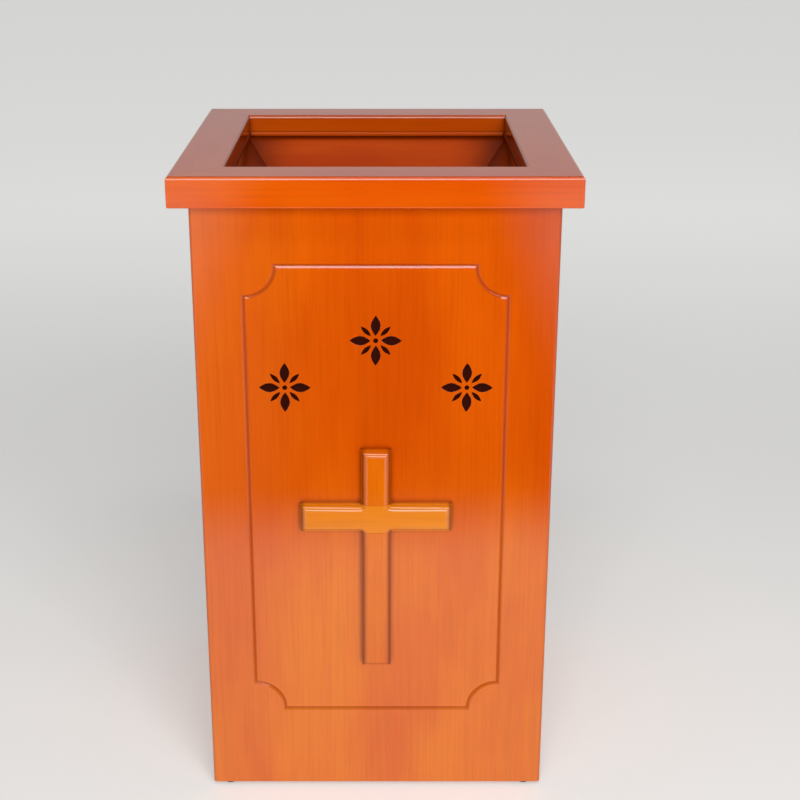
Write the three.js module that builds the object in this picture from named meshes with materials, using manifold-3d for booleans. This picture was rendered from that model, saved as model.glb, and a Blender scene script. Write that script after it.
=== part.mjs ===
// Church offering box: a square wooden box on four small feet, with an overhanging mitred rim, a
// sloping hopper that leads to a money slot, a cross on the front, and a locked door in the back.
// Millimetres, +Z up, the front faces -Y. The origin is on the floor, under the middle of the box.
import * as THREE from "three";
import { mergeVertices } from "three/addons/utils/BufferGeometryUtils.js";
import Module from "manifold-3d";

const wasm = await Module();
wasm.setup();

// ---------------------------------------------------------------- driving dimensions

// Whole box
const BODY_WIDTH = 318;
const BODY_DEPTH = 318;
const TOTAL_HEIGHT = 604;
const WALL = 15;
const CORNER_RADIUS = 3;
const BOTTOM_THICKNESS = 12;
const POST_SIZE = 18;
const POST_RELIEF = 22; // the posts stop this far below the cleats, clear of the hopper
const FIT_GAP = 0.3; // between pieces that meet at an angle

// Feet
const FOOT_HEIGHT = 4;
const FOOT_RADIUS = 7.5;
const FOOT_TAPER = 1;
const FOOT_EDGE = 0.8;
const FOOT_INSET_SIDE = 15.5; // from the box's side to the foot's middle
const FOOT_LAP = 2.5; // how far a foot reaches past the panel, under the bottom board
const FOOT_SCREW_RISE = 0.8; // the screw's head is sunk this far into the foot

// Rim, the bead set into its inner face and the cleats that hold it on
const RIM_HEIGHT = 27;
const RIM_WIDTH = 45;
const RIM_OVERHANG = 16;
const RIM_ROUND = 3;
const RIM_UNDER_ROUND = 1.5;
const RIM_LIP = 16; // the inner face of the rim above the bead
const RIM_REBATE = 4; // below the lip the inner face is cut back this far
const BEAD_HEIGHT = 5.6;
const BEAD_PROUD = 1.2; // how far the bead's nose stands out from the lip
const CLEAT_HEIGHT = 15;

// Hopper
const HOPPER_BOARD = 9;
const HOPPER_DROP = 104;
const SLOT_LENGTH = 90;
const SLOT_WIDTH = 18;

// Groove and carved flowers on the front
const GROOVE_SIDE_MARGIN = 44;
const GROOVE_TOP_MARGIN = 53.5;
const GROOVE_BOTTOM_MARGIN = 82.5;
const GROOVE_HALF_WIDTH = 2;
const GROOVE_DEPTH = 1.7;
const SCOOP_RADIUS = 28;
const FLOWER_SPREAD = 80.5; // the outer flowers stand this far to each side
const FLOWER_DROP = 67.5; // the middle flower's centre, below the groove's top
const FLOWER_STEP = 43.5; // the outer flowers sit this far below the middle one
const CARVE_DEPTH = 1.6;
const PETALS = 8; // broad and slim in turn
const BROAD_PETAL = { start: 4.2, length: 19, width: 9 };
const SLIM_PETAL = { start: 5.6, length: 13, width: 4.2 };
const PETAL_NARROWING = 0.7; // the share of a petal's width that is lost at the bottom of the carving
const EYE_RADIUS = 2.6;
const EYE_BOTTOM_RADIUS = 1.2;

// Cross
const CROSS_HEIGHT = 218;
const CROSS_WIDTH = 138;
const CROSS_BAR = 27;
const CROSS_THICKNESS = 10;
const CROSS_TOP_TO_CENTRE = 66;
const CROSS_CENTRE_RISE = 202.5; // above the groove's bottom
const CROSS_STEP = 1;
const CROSS_BEVEL = 5;
const CROSS_BEVEL_RISE = 5;
const CROSS_FILLET = 0.5; // in the inner corners, at the foot of the bevel

// Door in the back
const DOOR_STILE = 54;
const DOOR_SILL = 56;
const DOOR_OPENING_HEIGHT = 300;
const DOOR_GAP = 1.5;
const DOOR_ROUND = 1.5;
const STOP_DEPTH = 10;
const STOP_HEIGHT = 20;
const STOP_OVERLAP = 6;
const STOP_INSET = 10;

// Hinges
const HINGE_HEIGHT = 50;
const HINGE_FROM_DOOR_END = 50; // from the door's end to the hinge's middle
const LEAF_WIDTH = 18;
const LEAF_THICKNESS = 1.5;
const KNUCKLE_RADIUS = 3;
const KNUCKLES = 5;
const PIN_RADIUS = 1.5;
const PIN_CLEARANCE = 0.1;
const PIN_HEAD_RADIUS = 2.4;
const PIN_HEAD_HEIGHT = 1.4;
const PIN_HEAD_FLAT = 0.6; // the share of the head's radius that is flat
const LEAF_SCREW_SHARE = 0.3; // of the hinge's height, from its middle to a screw

// Lock
const LOCK_FROM_EDGE = 21.5;
const LOCK_BARREL_RADIUS = 9;
const LOCK_FLANGE_RADIUS = 11;
const LOCK_FLANGE_HEIGHT = 2;
const LOCK_FLANGE_EDGE = 0.8;
const LOCK_PLUG_RADIUS = 6;
const LOCK_NUT_THICKNESS = 3;
const LOCK_NUT_FLATS = 24;
const KEYWAY_LENGTH = 8;
const KEYWAY_WIDTH = 1.6;
const KEYWAY_DEPTH = 10;
const CAM_THICKNESS = 2;
const CAM_WIDTH = 14;
const CAM_REACH = 31;
const CAM_SQUARE = 7;
const CAM_HEEL_RADIUS = 3;
const CAM_TIP_RADIUS = 5;
const CAM_CATCH_GAP = 0.5; // between the cam's tongue and the face that it catches behind
const CAM_SCREW_RADIUS = 2;
const CAM_SCREW_HEAD = 4.5;
const CAM_SCREW_HEAD_HEIGHT = 2.2;
const CAM_SCREW_EDGE = 0.8;
const CAM_SCREW_SLOT = 1;
const CAM_SCREW_LENGTH = 10;
const TURN_CLEARANCE = 0.1;

// Wood screws
const SCREW_SHANK = 1.3;
const SCREW_HEAD = 3;
const SCREW_HEAD_HEIGHT = 1.4;
const SCREW_LENGTH = 11;
const SCREW_RECESS = 0.8;
const SCREW_ARM_SHARE = 0.6; // of the head's radius, the reach of the cross recess
const SCREW_SLOT_SHARE = 0.13; // of the head's radius, half the width of the cross recess
const SCREW_RIM_SHARE = 0.2; // of the head's height, its straight edge
const SCREW_CLEARANCE = 0.15;

// Smoothness
const ARC_SEGMENTS = 6;
const ROUND_SEGMENTS = 24;
const SCREW_SEGMENTS = 12;
const PETAL_SEGMENTS = 6;
const FILLET_SEGMENTS = 3;

const CUT_OVER = 1; // how far a cutter reaches past the face that it cuts

// ---------------------------------------------------------------- sizes that follow

const HALF_WIDTH = BODY_WIDTH / 2;
const HALF_DEPTH = BODY_DEPTH / 2;
const INNER_HALF_WIDTH = HALF_WIDTH - WALL;
const INNER_HALF_DEPTH = HALF_DEPTH - WALL;
const BODY_TOP = TOTAL_HEIGHT - RIM_HEIGHT;
const BODY_HEIGHT = BODY_TOP - FOOT_HEIGHT;
const BODY_MIDDLE = FOOT_HEIGHT + BODY_HEIGHT / 2;
const FLOOR_TOP = FOOT_HEIGHT + BOTTOM_THICKNESS;

const RIM_HALF_WIDTH = HALF_WIDTH + RIM_OVERHANG;
const RIM_HALF_DEPTH = HALF_DEPTH + RIM_OVERHANG;
const MOUTH_HALF_WIDTH = RIM_HALF_WIDTH - RIM_WIDTH;
const MOUTH_HALF_DEPTH = RIM_HALF_DEPTH - RIM_WIDTH;
const BEAD_TOP = TOTAL_HEIGHT - RIM_LIP;
const REBATE_HALF_WIDTH = MOUTH_HALF_WIDTH + RIM_REBATE;
const REBATE_HALF_DEPTH = MOUTH_HALF_DEPTH + RIM_REBATE;
const HOPPER_TOP = BEAD_TOP - BEAD_HEIGHT - FIT_GAP;

const GROOVE_HALF_X = HALF_WIDTH - GROOVE_SIDE_MARGIN;
const GROOVE_TOP = BODY_TOP - GROOVE_TOP_MARGIN;
const GROOVE_BOTTOM = FOOT_HEIGHT + GROOVE_BOTTOM_MARGIN;

const OPENING_HALF_WIDTH = HALF_WIDTH - DOOR_STILE;
const OPENING_BOTTOM = FOOT_HEIGHT + DOOR_SILL;
const OPENING_MIDDLE = OPENING_BOTTOM + DOOR_OPENING_HEIGHT / 2;
const DOOR_HALF_WIDTH = OPENING_HALF_WIDTH - DOOR_GAP;
const DOOR_HEIGHT = DOOR_OPENING_HEIGHT - 2 * DOOR_GAP;
const HINGE_X = -(OPENING_HALF_WIDTH + DOOR_HALF_WIDTH) / 2;
const HINGE_Y = HALF_DEPTH + KNUCKLE_RADIUS;
const HINGE_RISE = DOOR_HEIGHT / 2 - HINGE_FROM_DOOR_END;
const LOCK_X = DOOR_HALF_WIDTH - LOCK_FROM_EDGE;
const PIN_BORE = PIN_RADIUS + PIN_CLEARANCE;

// ---------------------------------------------------------------- materials

function paint(color, roughness, metalness = 0) {
  return new THREE.MeshStandardMaterial({ color, roughness, metalness });
}

const wood = paint(0xb8480f, 0.3);
const innerWood = paint(0xa5622f, 0.6);
const steel = paint(0xb9b6ae, 0.3, 1);
const brass = paint(0xb8953f, 0.35, 1);
const rubber = paint(0x151312, 0.8);

// ---------------------------------------------------------------- joining and cutting

// A closed three.js geometry as a solid that can be joined and cut.
function solid(geometry) {
  const bare = new THREE.BufferGeometry();
  bare.setAttribute("position", geometry.getAttribute("position"));
  bare.setIndex(geometry.getIndex());
  const merged = mergeVertices(bare, 1e-4);
  return new wasm.Manifold(
    new wasm.Mesh({
      numProp: 3,
      vertProperties: new Float32Array(merged.getAttribute("position").array),
      triVerts: new Uint32Array(merged.getIndex().array),
    }),
  );
}

// A cut solid as a three.js geometry again.
function geometryOf(cut) {
  const mesh = cut.getMesh();
  const geometry = new THREE.BufferGeometry();
  geometry.setAttribute("position", new THREE.BufferAttribute(mesh.vertProperties, 3));
  geometry.setIndex(new THREE.BufferAttribute(mesh.triVerts, 1));
  geometry.computeVertexNormals();
  return geometry;
}

// The geometry less every cutter.
function cut(geometry, cutters) {
  return geometryOf(cutters.reduce((left, cutter) => left.subtract(solid(cutter)), solid(geometry)));
}

// ---------------------------------------------------------------- shapes

// A box that spans from one corner to the other.
function block([x0, y0, z0], [x1, y1, z1]) {
  const geometry = new THREE.BoxGeometry(x1 - x0, y1 - y0, z1 - z0);
  return geometry.translate((x0 + x1) / 2, (y0 + y1) / 2, (z0 + z1) / 2);
}

// A rectangle from (x0, y0) to (x1, y1) with a radius for each corner, anticlockwise from (x0, y0).
function roundedRectangle(x0, y0, x1, y1, [r00, r10, r11, r01]) {
  const shape = new THREE.Shape();
  shape.moveTo(x0 + r00, y0);
  shape.lineTo(x1 - r10, y0);
  if (r10) shape.absarc(x1 - r10, y0 + r10, r10, -Math.PI / 2, 0);
  shape.lineTo(x1, y1 - r11);
  if (r11) shape.absarc(x1 - r11, y1 - r11, r11, 0, Math.PI / 2);
  shape.lineTo(x0 + r01, y1);
  if (r01) shape.absarc(x0 + r01, y1 - r01, r01, Math.PI / 2, Math.PI);
  shape.lineTo(x0, y0 + r00);
  if (r00) shape.absarc(x0 + r00, y0 + r00, r00, Math.PI, 1.5 * Math.PI);
  return shape;
}

// A flat shape in X and Y, raised along Z.
function raise(shape, depth) {
  return new THREE.ExtrudeGeometry(shape, {
    depth,
    bevelEnabled: false,
    curveSegments: ARC_SEGMENTS,
  });
}

// A cylinder along Z from z0 to z1.
function rod(radius, z0, z1, segments = ROUND_SEGMENTS) {
  const geometry = new THREE.CylinderGeometry(radius, radius, z1 - z0, segments);
  return geometry.rotateX(Math.PI / 2).translate(0, 0, (z0 + z1) / 2);
}

// A profile of [radius, height] points turned about Z.
function turned(points, segments = ROUND_SEGMENTS) {
  const profile = points.map(([radius, height]) => new THREE.Vector2(radius, height));
  return new THREE.LatheGeometry(profile, segments).rotateX(Math.PI / 2);
}

// A closed skin through rings of [x, z] points, each at its own y, from the front to the back.
function loft(rings) {
  const count = rings[0].points.length;
  const positions = rings.flatMap(({ y, points }) => points.flatMap(([x, z]) => [x, y, z]));
  const cap = ({ points }) => {
    const outline = points.map(([x, z]) => new THREE.Vector2(x, z));
    return THREE.ShapeUtils.triangulateShape(outline, []);
  };
  const last = (rings.length - 1) * count;
  const front = cap(rings[0]).flat();
  const back = cap(rings.at(-1)).flatMap(([a, b, c]) => [last + a, last + c, last + b]);
  const index = [...front, ...back];
  for (let ring = 0; ring < last; ring += count) {
    for (let i = 0; i < count; i++) {
      const j = (i + 1) % count;
      index.push(ring + i, ring + count + i, ring + count + j);
      index.push(ring + i, ring + count + j, ring + j);
    }
  }
  const geometry = new THREE.BufferGeometry();
  geometry.setAttribute("position", new THREE.Float32BufferAttribute(positions, 3));
  geometry.setIndex(index);
  geometry.computeVertexNormals();
  return geometry;
}

// Moves each vertex to where place puts it, and turns the faces round if that mirrors them.
function reshape(geometry, place, mirrored) {
  const flat = geometry.index ? geometry.toNonIndexed() : geometry;
  const position = flat.getAttribute("position");
  const points = [];
  for (let i = 0; i < position.count; i++) {
    points.push(place(position.getX(i), position.getY(i), position.getZ(i)));
  }
  const faces = [];
  for (let i = 0; i < points.length; i += 3) {
    faces.push(points[i], ...(mirrored ? [points[i + 2], points[i + 1]] : [points[i + 1], points[i + 2]]));
  }
  const moved = new THREE.BufferGeometry();
  moved.setAttribute("position", new THREE.Float32BufferAttribute(faces.flat(), 3));
  moved.computeVertexNormals();
  return moved;
}

// ---------------------------------------------------------------- scene

const offeringBox = new THREE.Group();

function add(group, name, geometry, material, position = [0, 0, 0]) {
  const mesh = new THREE.Mesh(geometry, material);
  mesh.name = name;
  mesh.position.set(...position);
  group.add(mesh);
  return mesh;
}

function groupAt(parent, position) {
  const group = new THREE.Group();
  group.position.set(...position);
  parent.add(group);
  return group;
}

// ---------------------------------------------------------------- wood screws

// A countersunk wood screw that points down -Z from a flat head at z = 0, with a cross recess.
function woodScrew(length) {
  const tip = 2 * SCREW_SHANK;
  const body = turned(
    [
      [0, -length],
      [SCREW_SHANK, tip - length],
      [SCREW_SHANK, -SCREW_HEAD_HEIGHT],
      [SCREW_HEAD, -SCREW_HEAD_HEIGHT * SCREW_RIM_SHARE],
      [SCREW_HEAD, 0],
      [0, 0],
    ],
    SCREW_SEGMENTS,
  );
  const arm = SCREW_HEAD * SCREW_ARM_SHARE;
  const halfSlot = SCREW_HEAD * SCREW_SLOT_SHARE;
  return cut(body, [
    block([-arm, -halfSlot, -SCREW_RECESS], [arm, halfSlot, CUT_OVER]),
    block([-halfSlot, -arm, -SCREW_RECESS], [halfSlot, arm, CUT_OVER]),
  ]);
}

// The hole that such a screw needs in the pieces that it passes through and grips.
function screwHole(length) {
  const shank = SCREW_SHANK + SCREW_CLEARANCE;
  const head = SCREW_HEAD + SCREW_CLEARANCE;
  return turned(
    [
      [0, -length - SCREW_CLEARANCE],
      [shank, -length - SCREW_CLEARANCE],
      [shank, -SCREW_HEAD_HEIGHT - SCREW_CLEARANCE],
      [head, -SCREW_HEAD_HEIGHT * SCREW_RIM_SHARE - SCREW_CLEARANCE],
      [head, CUT_OVER],
      [0, CUT_OVER],
    ],
    SCREW_SEGMENTS,
  );
}

// ---------------------------------------------------------------- feet

const FEET = [
  { name: "front_left", x: -1, y: -1 },
  { name: "front_right", x: 1, y: -1 },
  { name: "back_left", x: -1, y: 1 },
  { name: "back_right", x: 1, y: 1 },
].map(({ name, x, y }) => ({
  name,
  x: x * (HALF_WIDTH - FOOT_INSET_SIDE),
  y: y * (INNER_HALF_DEPTH + FOOT_RADIUS - FOOT_LAP),
}));

const FOOT_SCREW_LENGTH = SCREW_LENGTH + FOOT_HEIGHT;

// The screw and its hole point up from the head.
function upward(geometry) {
  return geometry.rotateX(Math.PI).translate(0, 0, FOOT_SCREW_RISE);
}

function buildFeet() {
  const sole = FOOT_RADIUS - FOOT_TAPER;
  const foot = turned([
    [0, 0],
    [sole - FOOT_EDGE, 0],
    [sole, FOOT_EDGE],
    [FOOT_RADIUS, FOOT_HEIGHT],
    [0, FOOT_HEIGHT],
  ]);
  for (const { name, x, y } of FEET) {
    const pad = cut(foot, [upward(screwHole(FOOT_SCREW_LENGTH))]);
    add(offeringBox, `foot_${name}`, pad, rubber, [x, y, 0]);
    add(offeringBox, `foot_screw_${name}`, upward(woodScrew(FOOT_SCREW_LENGTH)), steel, [x, y, 0]);
  }
}

// Holes for the feet's screws in a panel that stands above them.
function footHoles(panelSide) {
  return FEET.filter(({ y }) => Math.sign(y) === panelSide).map(({ x, y }) =>
    upward(screwHole(FOOT_SCREW_LENGTH)).translate(x, y, 0),
  );
}

// ---------------------------------------------------------------- front panel

// The groove's outline, moved outwards by offset: straight sides, and a scooped hollow at each corner.
function scoopedOutline(offset) {
  const top = GROOVE_TOP + offset;
  const bottom = GROOVE_BOTTOM - offset;
  const side = GROOVE_HALF_X + offset;
  const radius = SCOOP_RADIUS - offset;
  const start = Math.asin(offset / radius);
  const corners = [
    { x: GROOVE_HALF_X, z: GROOVE_BOTTOM, turn: Math.PI },
    { x: GROOVE_HALF_X, z: GROOVE_TOP, turn: 1.5 * Math.PI },
    { x: -GROOVE_HALF_X, z: GROOVE_TOP, turn: 0 },
    { x: -GROOVE_HALF_X, z: GROOVE_BOTTOM, turn: 0.5 * Math.PI },
  ];
  const steps = 2 * ARC_SEGMENTS;
  return corners.flatMap(({ x, z, turn }) =>
    Array.from({ length: steps + 1 }, (_, i) => {
      const angle = turn + start - ((Math.PI / 2 + 2 * start) * i) / steps;
      const px = x + radius * Math.cos(angle);
      const pz = z + radius * Math.sin(angle);
      return [Math.max(-side, Math.min(side, px)), Math.max(bottom, Math.min(top, pz))];
    }),
  );
}

// A V-shaped groove along the outline, cut into a face at y = front.
function grooveCutter(front) {
  const steepness = GROOVE_DEPTH / GROOVE_HALF_WIDTH;
  const ring = (y, side) => {
    const offset = side * (GROOVE_HALF_WIDTH - y / steepness);
    return { y: front + y, points: scoopedOutline(offset) };
  };
  const end = 2 * GROOVE_DEPTH;
  const outer = loft([ring(-CUT_OVER, 1), ring(end, 1)]);
  const inner = loft([ring(-2 * CUT_OVER, -1), ring(end + CUT_OVER, -1)]);
  return cut(outer, [inner]);
}

// A petal from the flower's centre outwards, pointed at both ends, as [x, z] points.
function petalOutline(angle, start, length, width) {
  const points = [];
  for (let i = 0; i < 2 * PETAL_SEGMENTS; i++) {
    const along = 1 - Math.abs(1 - i / PETAL_SEGMENTS);
    const side = i < PETAL_SEGMENTS ? -1 : 1;
    const r = start + length * along;
    const s = (side * width * Math.sin(Math.PI * along)) / 2;
    points.push([r * Math.cos(angle) - s * Math.sin(angle), r * Math.sin(angle) + s * Math.cos(angle)]);
  }
  return points;
}

// One chip-carved flower: four broad petals, four slim ones between them and a round eye.
function flowerCutters(x, z, front) {
  const over = CUT_OVER / 2;
  const opening = (-PETAL_NARROWING * over) / CARVE_DEPTH;
  const cutters = [];
  for (let i = 0; i < PETALS; i++) {
    const { start, length, width } = i % 2 ? SLIM_PETAL : BROAD_PETAL;
    const angle = (2 * Math.PI * i) / PETALS;
    const ring = (y, shrink) => ({
      y,
      points: petalOutline(
        angle,
        start + (length * shrink) / 4,
        length * (1 - shrink / 2),
        width * (1 - shrink),
      ).map(([px, pz]) => [x + px, z + pz]),
    });
    cutters.push(loft([ring(front - over, opening), ring(front + CARVE_DEPTH, PETAL_NARROWING)]));
  }
  const eye = new THREE.CylinderGeometry(
    EYE_RADIUS,
    EYE_BOTTOM_RADIUS,
    CARVE_DEPTH + over,
    SCREW_SEGMENTS,
  );
  cutters.push(eye.rotateX(Math.PI).translate(x, front + (CARVE_DEPTH - over) / 2, z));
  return cutters;
}

function buildFrontPanel() {
  const r = CORNER_RADIUS;
  const plan = roundedRectangle(-HALF_WIDTH, -HALF_DEPTH, HALF_WIDTH, -INNER_HALF_DEPTH, [r, r, 0, 0]);
  const board = raise(plan, BODY_HEIGHT).translate(0, 0, FOOT_HEIGHT);
  const flowerTop = GROOVE_TOP - FLOWER_DROP;
  const flowers = [
    [-FLOWER_SPREAD, flowerTop - FLOWER_STEP],
    [0, flowerTop],
    [FLOWER_SPREAD, flowerTop - FLOWER_STEP],
  ].flatMap(([x, z]) => flowerCutters(x, z, -HALF_DEPTH));
  const panel = cut(board, [grooveCutter(-HALF_DEPTH), ...flowers, ...footHoles(-1)]);
  add(offeringBox, "front_panel", panel, wood);
}

// ---------------------------------------------------------------- carcass

function buildSidesAndBottom() {
  const side = new THREE.BoxGeometry(WALL, 2 * INNER_HALF_DEPTH, BODY_HEIGHT);
  add(offeringBox, "left_panel", side, wood, [-HALF_WIDTH + WALL / 2, 0, BODY_MIDDLE]);
  add(offeringBox, "right_panel", side, wood, [HALF_WIDTH - WALL / 2, 0, BODY_MIDDLE]);

  const bottom = new THREE.BoxGeometry(2 * INNER_HALF_WIDTH, 2 * INNER_HALF_DEPTH, BOTTOM_THICKNESS);
  add(offeringBox, "bottom_board", bottom, innerWood, [0, 0, FOOT_HEIGHT + BOTTOM_THICKNESS / 2]);

  const postTop = BODY_TOP - CLEAT_HEIGHT - POST_RELIEF;
  const post = new THREE.BoxGeometry(POST_SIZE, POST_SIZE, postTop - FLOOR_TOP);
  const postX = INNER_HALF_WIDTH - POST_SIZE / 2;
  const postY = INNER_HALF_DEPTH - POST_SIZE / 2;
  for (const { name, x, y } of FEET) {
    const position = [Math.sign(x) * postX, Math.sign(y) * postY, (FLOOR_TOP + postTop) / 2];
    add(offeringBox, `corner_post_${name}`, post, innerWood, position);
  }
}

function buildBackPanel() {
  const r = CORNER_RADIUS;
  const plan = roundedRectangle(-HALF_WIDTH, INNER_HALF_DEPTH, HALF_WIDTH, HALF_DEPTH, [0, 0, r, r]);
  const board = raise(plan, BODY_HEIGHT).translate(0, 0, FOOT_HEIGHT);
  const opening = block(
    [-OPENING_HALF_WIDTH, INNER_HALF_DEPTH - CUT_OVER, OPENING_BOTTOM],
    [OPENING_HALF_WIDTH, HALF_DEPTH + CUT_OVER, OPENING_BOTTOM + DOOR_OPENING_HEIGHT],
  );
  const screws = hingeScrewPlaces(-1).map(([x, y, z]) =>
    screwHole(SCREW_LENGTH).rotateX(-Math.PI / 2).translate(x, y, z),
  );
  add(offeringBox, "back_panel", cut(board, [opening, ...footHoles(1), ...screws]), wood);
}

// Strips behind the back panel that the closed door rests against.
function buildDoorStops() {
  const halfLength = OPENING_HALF_WIDTH - STOP_INSET;
  const strip = new THREE.BoxGeometry(2 * halfLength, STOP_DEPTH, STOP_HEIGHT);
  const y = INNER_HALF_DEPTH - STOP_DEPTH / 2;
  const away = DOOR_OPENING_HEIGHT / 2 + STOP_HEIGHT / 2 - STOP_OVERLAP;
  add(offeringBox, "door_stop_upper", strip, innerWood, [0, y, OPENING_MIDDLE + away]);
  add(offeringBox, "door_stop_lower", strip, innerWood, [0, y, OPENING_MIDDLE - away]);
}

// ---------------------------------------------------------------- mitred frames

const SIDES = ["front", "back", "left", "right"];

// One side of a mitred frame. The profile's x is the distance in from the frame's outer edge.
function mitredStrip(profile, halfWidth, halfDepth, side) {
  const across = side === "front" || side === "back";
  const sign = side === "front" || side === "left" ? -1 : 1;
  const [halfLong, halfShort] = across ? [halfWidth, halfDepth] : [halfDepth, halfWidth];
  const place = (inset, height, end) => {
    const along = (2 * end - 1) * (halfLong - inset - FIT_GAP / 2);
    const out = sign * (halfShort - inset);
    return across ? [along, out, height] : [out, along, height];
  };
  return reshape(raise(profile, 1), place, across === sign > 0);
}

// The rim's section: rounded edges, and a rebate in the lower part of its inner face.
function railProfile() {
  const rail = new THREE.Shape();
  const [r, under] = [RIM_ROUND, RIM_UNDER_ROUND];
  rail.moveTo(under, BODY_TOP);
  rail.lineTo(RIM_WIDTH - RIM_REBATE, BODY_TOP);
  rail.lineTo(RIM_WIDTH - RIM_REBATE, BEAD_TOP);
  rail.lineTo(RIM_WIDTH, BEAD_TOP);
  rail.lineTo(RIM_WIDTH, TOTAL_HEIGHT - r);
  rail.absarc(RIM_WIDTH - r, TOTAL_HEIGHT - r, r, 0, Math.PI / 2);
  rail.lineTo(r, TOTAL_HEIGHT);
  rail.absarc(r, TOTAL_HEIGHT - r, r, Math.PI / 2, Math.PI);
  rail.lineTo(0, BODY_TOP + under);
  rail.absarc(under, BODY_TOP + under, under, Math.PI, 1.5 * Math.PI);
  return rail;
}

// The bead's section: a strip with a half-round nose, set into the rebate.
function beadProfile() {
  const bead = new THREE.Shape();
  const nose = BEAD_HEIGHT / 2;
  const straight = RIM_REBATE + BEAD_PROUD - nose;
  bead.moveTo(0, BEAD_TOP - BEAD_HEIGHT);
  bead.lineTo(straight, BEAD_TOP - BEAD_HEIGHT);
  bead.absarc(straight, BEAD_TOP - nose, nose, -Math.PI / 2, Math.PI / 2);
  bead.lineTo(0, BEAD_TOP);
  return bead;
}

function buildRim() {
  const rail = railProfile();
  const bead = beadProfile();
  const cleatWidth = INNER_HALF_WIDTH - REBATE_HALF_WIDTH;
  const cleat = roundedRectangle(0, BODY_TOP - CLEAT_HEIGHT, cleatWidth, BODY_TOP, [0, 0, 0, 0]);

  for (const side of SIDES) {
    const strip = (profile, halfWidth, halfDepth) => mitredStrip(profile, halfWidth, halfDepth, side);
    add(offeringBox, `rim_${side}`, strip(rail, RIM_HALF_WIDTH, RIM_HALF_DEPTH), wood);
    add(offeringBox, `bead_${side}`, strip(bead, REBATE_HALF_WIDTH, REBATE_HALF_DEPTH), wood);
    add(offeringBox, `rim_cleat_${side}`, strip(cleat, INNER_HALF_WIDTH, INNER_HALF_DEPTH), innerWood);
  }
}

// ---------------------------------------------------------------- hopper

// A sloping board with upright ends, from the rim's rebate down to the slot.
function hopperBoard(side) {
  const across = side === "front" || side === "back";
  const sign = side === "front" || side === "left" ? -1 : 1;
  const top = across
    ? [REBATE_HALF_WIDTH - FIT_GAP, REBATE_HALF_DEPTH - FIT_GAP]
    : [REBATE_HALF_DEPTH - FIT_GAP, REBATE_HALF_WIDTH - FIT_GAP];
  const slot = across ? [SLOT_LENGTH / 2, SLOT_WIDTH / 2] : [SLOT_WIDTH / 2, SLOT_LENGTH / 2];
  const run = top[1] - slot[1];
  const upright = (HOPPER_BOARD * Math.hypot(run, HOPPER_DROP)) / run;
  const place = (end, down, under) => {
    const outer = down < 0;
    const [half, out] = outer ? top : slot;
    const along = 2 * end * (half - FIT_GAP / 2);
    const height = HOPPER_TOP - (outer ? 0 : HOPPER_DROP) - (under < 0 ? upright : 0);
    return across ? [along, sign * out, height] : [sign * out, along, height];
  };
  return reshape(new THREE.BoxGeometry(1, 1, 1), place, across === sign > 0);
}

function buildHopper() {
  for (const side of SIDES) add(offeringBox, `hopper_${side}`, hopperBoard(side), wood);
}

// ---------------------------------------------------------------- cross

// The four arms' ends, and between each and the next the inner corner that they share, anticlockwise.
const CROSS_ARMS = [
  { right: 0, up: -1, reach: CROSS_HEIGHT - CROSS_TOP_TO_CENTRE },
  { right: 1, up: 0, reach: CROSS_WIDTH / 2 },
  { right: 0, up: 1, reach: CROSS_TOP_TO_CENTRE },
  { right: -1, up: 0, reach: CROSS_WIDTH / 2 },
];

// The outline of the cross about its crossing, drawn in by inset, as [x, z] points.
function crossOutline(inset) {
  const half = CROSS_BAR / 2 - inset;
  const fillet = CROSS_FILLET + inset;
  const centre = half + fillet;
  return CROSS_ARMS.flatMap(({ right, up, reach }) => {
    const place = (along, aside) => [right * along - up * aside, up * along + right * aside];
    const end = reach - inset;
    const corner = Array.from({ length: FILLET_SEGMENTS + 1 }, (_, i) => {
      const angle = (Math.PI / 2) * (i / FILLET_SEGMENTS);
      return place(centre - fillet * Math.sin(angle), centre - fillet * Math.cos(angle));
    });
    return [place(end, -half), place(end, half), ...corner];
  });
}

// The whole cross: a square edge, a small step, and then a soft bevel up to the face.
function wholeCross() {
  const stepAt = CROSS_THICKNESS - CROSS_BEVEL_RISE;
  const ring = (forward, inset) => ({ y: -forward, points: crossOutline(inset) });
  const bevel = new THREE.CubicBezierCurve(
    new THREE.Vector2(stepAt, CROSS_STEP),
    new THREE.Vector2(stepAt + CROSS_BEVEL_RISE / 3, CROSS_STEP),
    new THREE.Vector2(CROSS_THICKNESS, CROSS_STEP + (CROSS_BEVEL * 2) / 3),
    new THREE.Vector2(CROSS_THICKNESS, CROSS_STEP + CROSS_BEVEL),
  ).getPoints(ARC_SEGMENTS);
  const rounded = bevel.reverse().map(({ x, y }) => ring(x, y));
  return loft([...rounded, ring(stepAt, 0), ring(0, 0)]);
}

function buildCross() {
  const half = CROSS_BAR / 2;
  const far = CROSS_HEIGHT;
  const lap = CROSS_THICKNESS / 2;
  const whole = solid(wholeCross());
  const band = (reach) => solid(block([-far, -far, -reach], [far, CUT_OVER, reach]));
  const notch = block([-half, -lap, -half], [half, CUT_OVER, half]);
  const tongue = block(
    [-half + FIT_GAP, -lap + FIT_GAP, -half - CUT_OVER],
    [half - FIT_GAP, 0, half + CUT_OVER],
  );
  const bar = whole.intersect(band(half)).subtract(solid(notch));
  const upright = whole.subtract(band(half + FIT_GAP / 2)).add(solid(tongue));
  const crossing = groupAt(offeringBox, [0, -HALF_DEPTH, GROOVE_BOTTOM + CROSS_CENTRE_RISE]);
  add(crossing, "cross_bar", geometryOf(bar), wood);
  add(crossing, "cross_upright", geometryOf(upright), wood);
}

// ---------------------------------------------------------------- hinges

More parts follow.
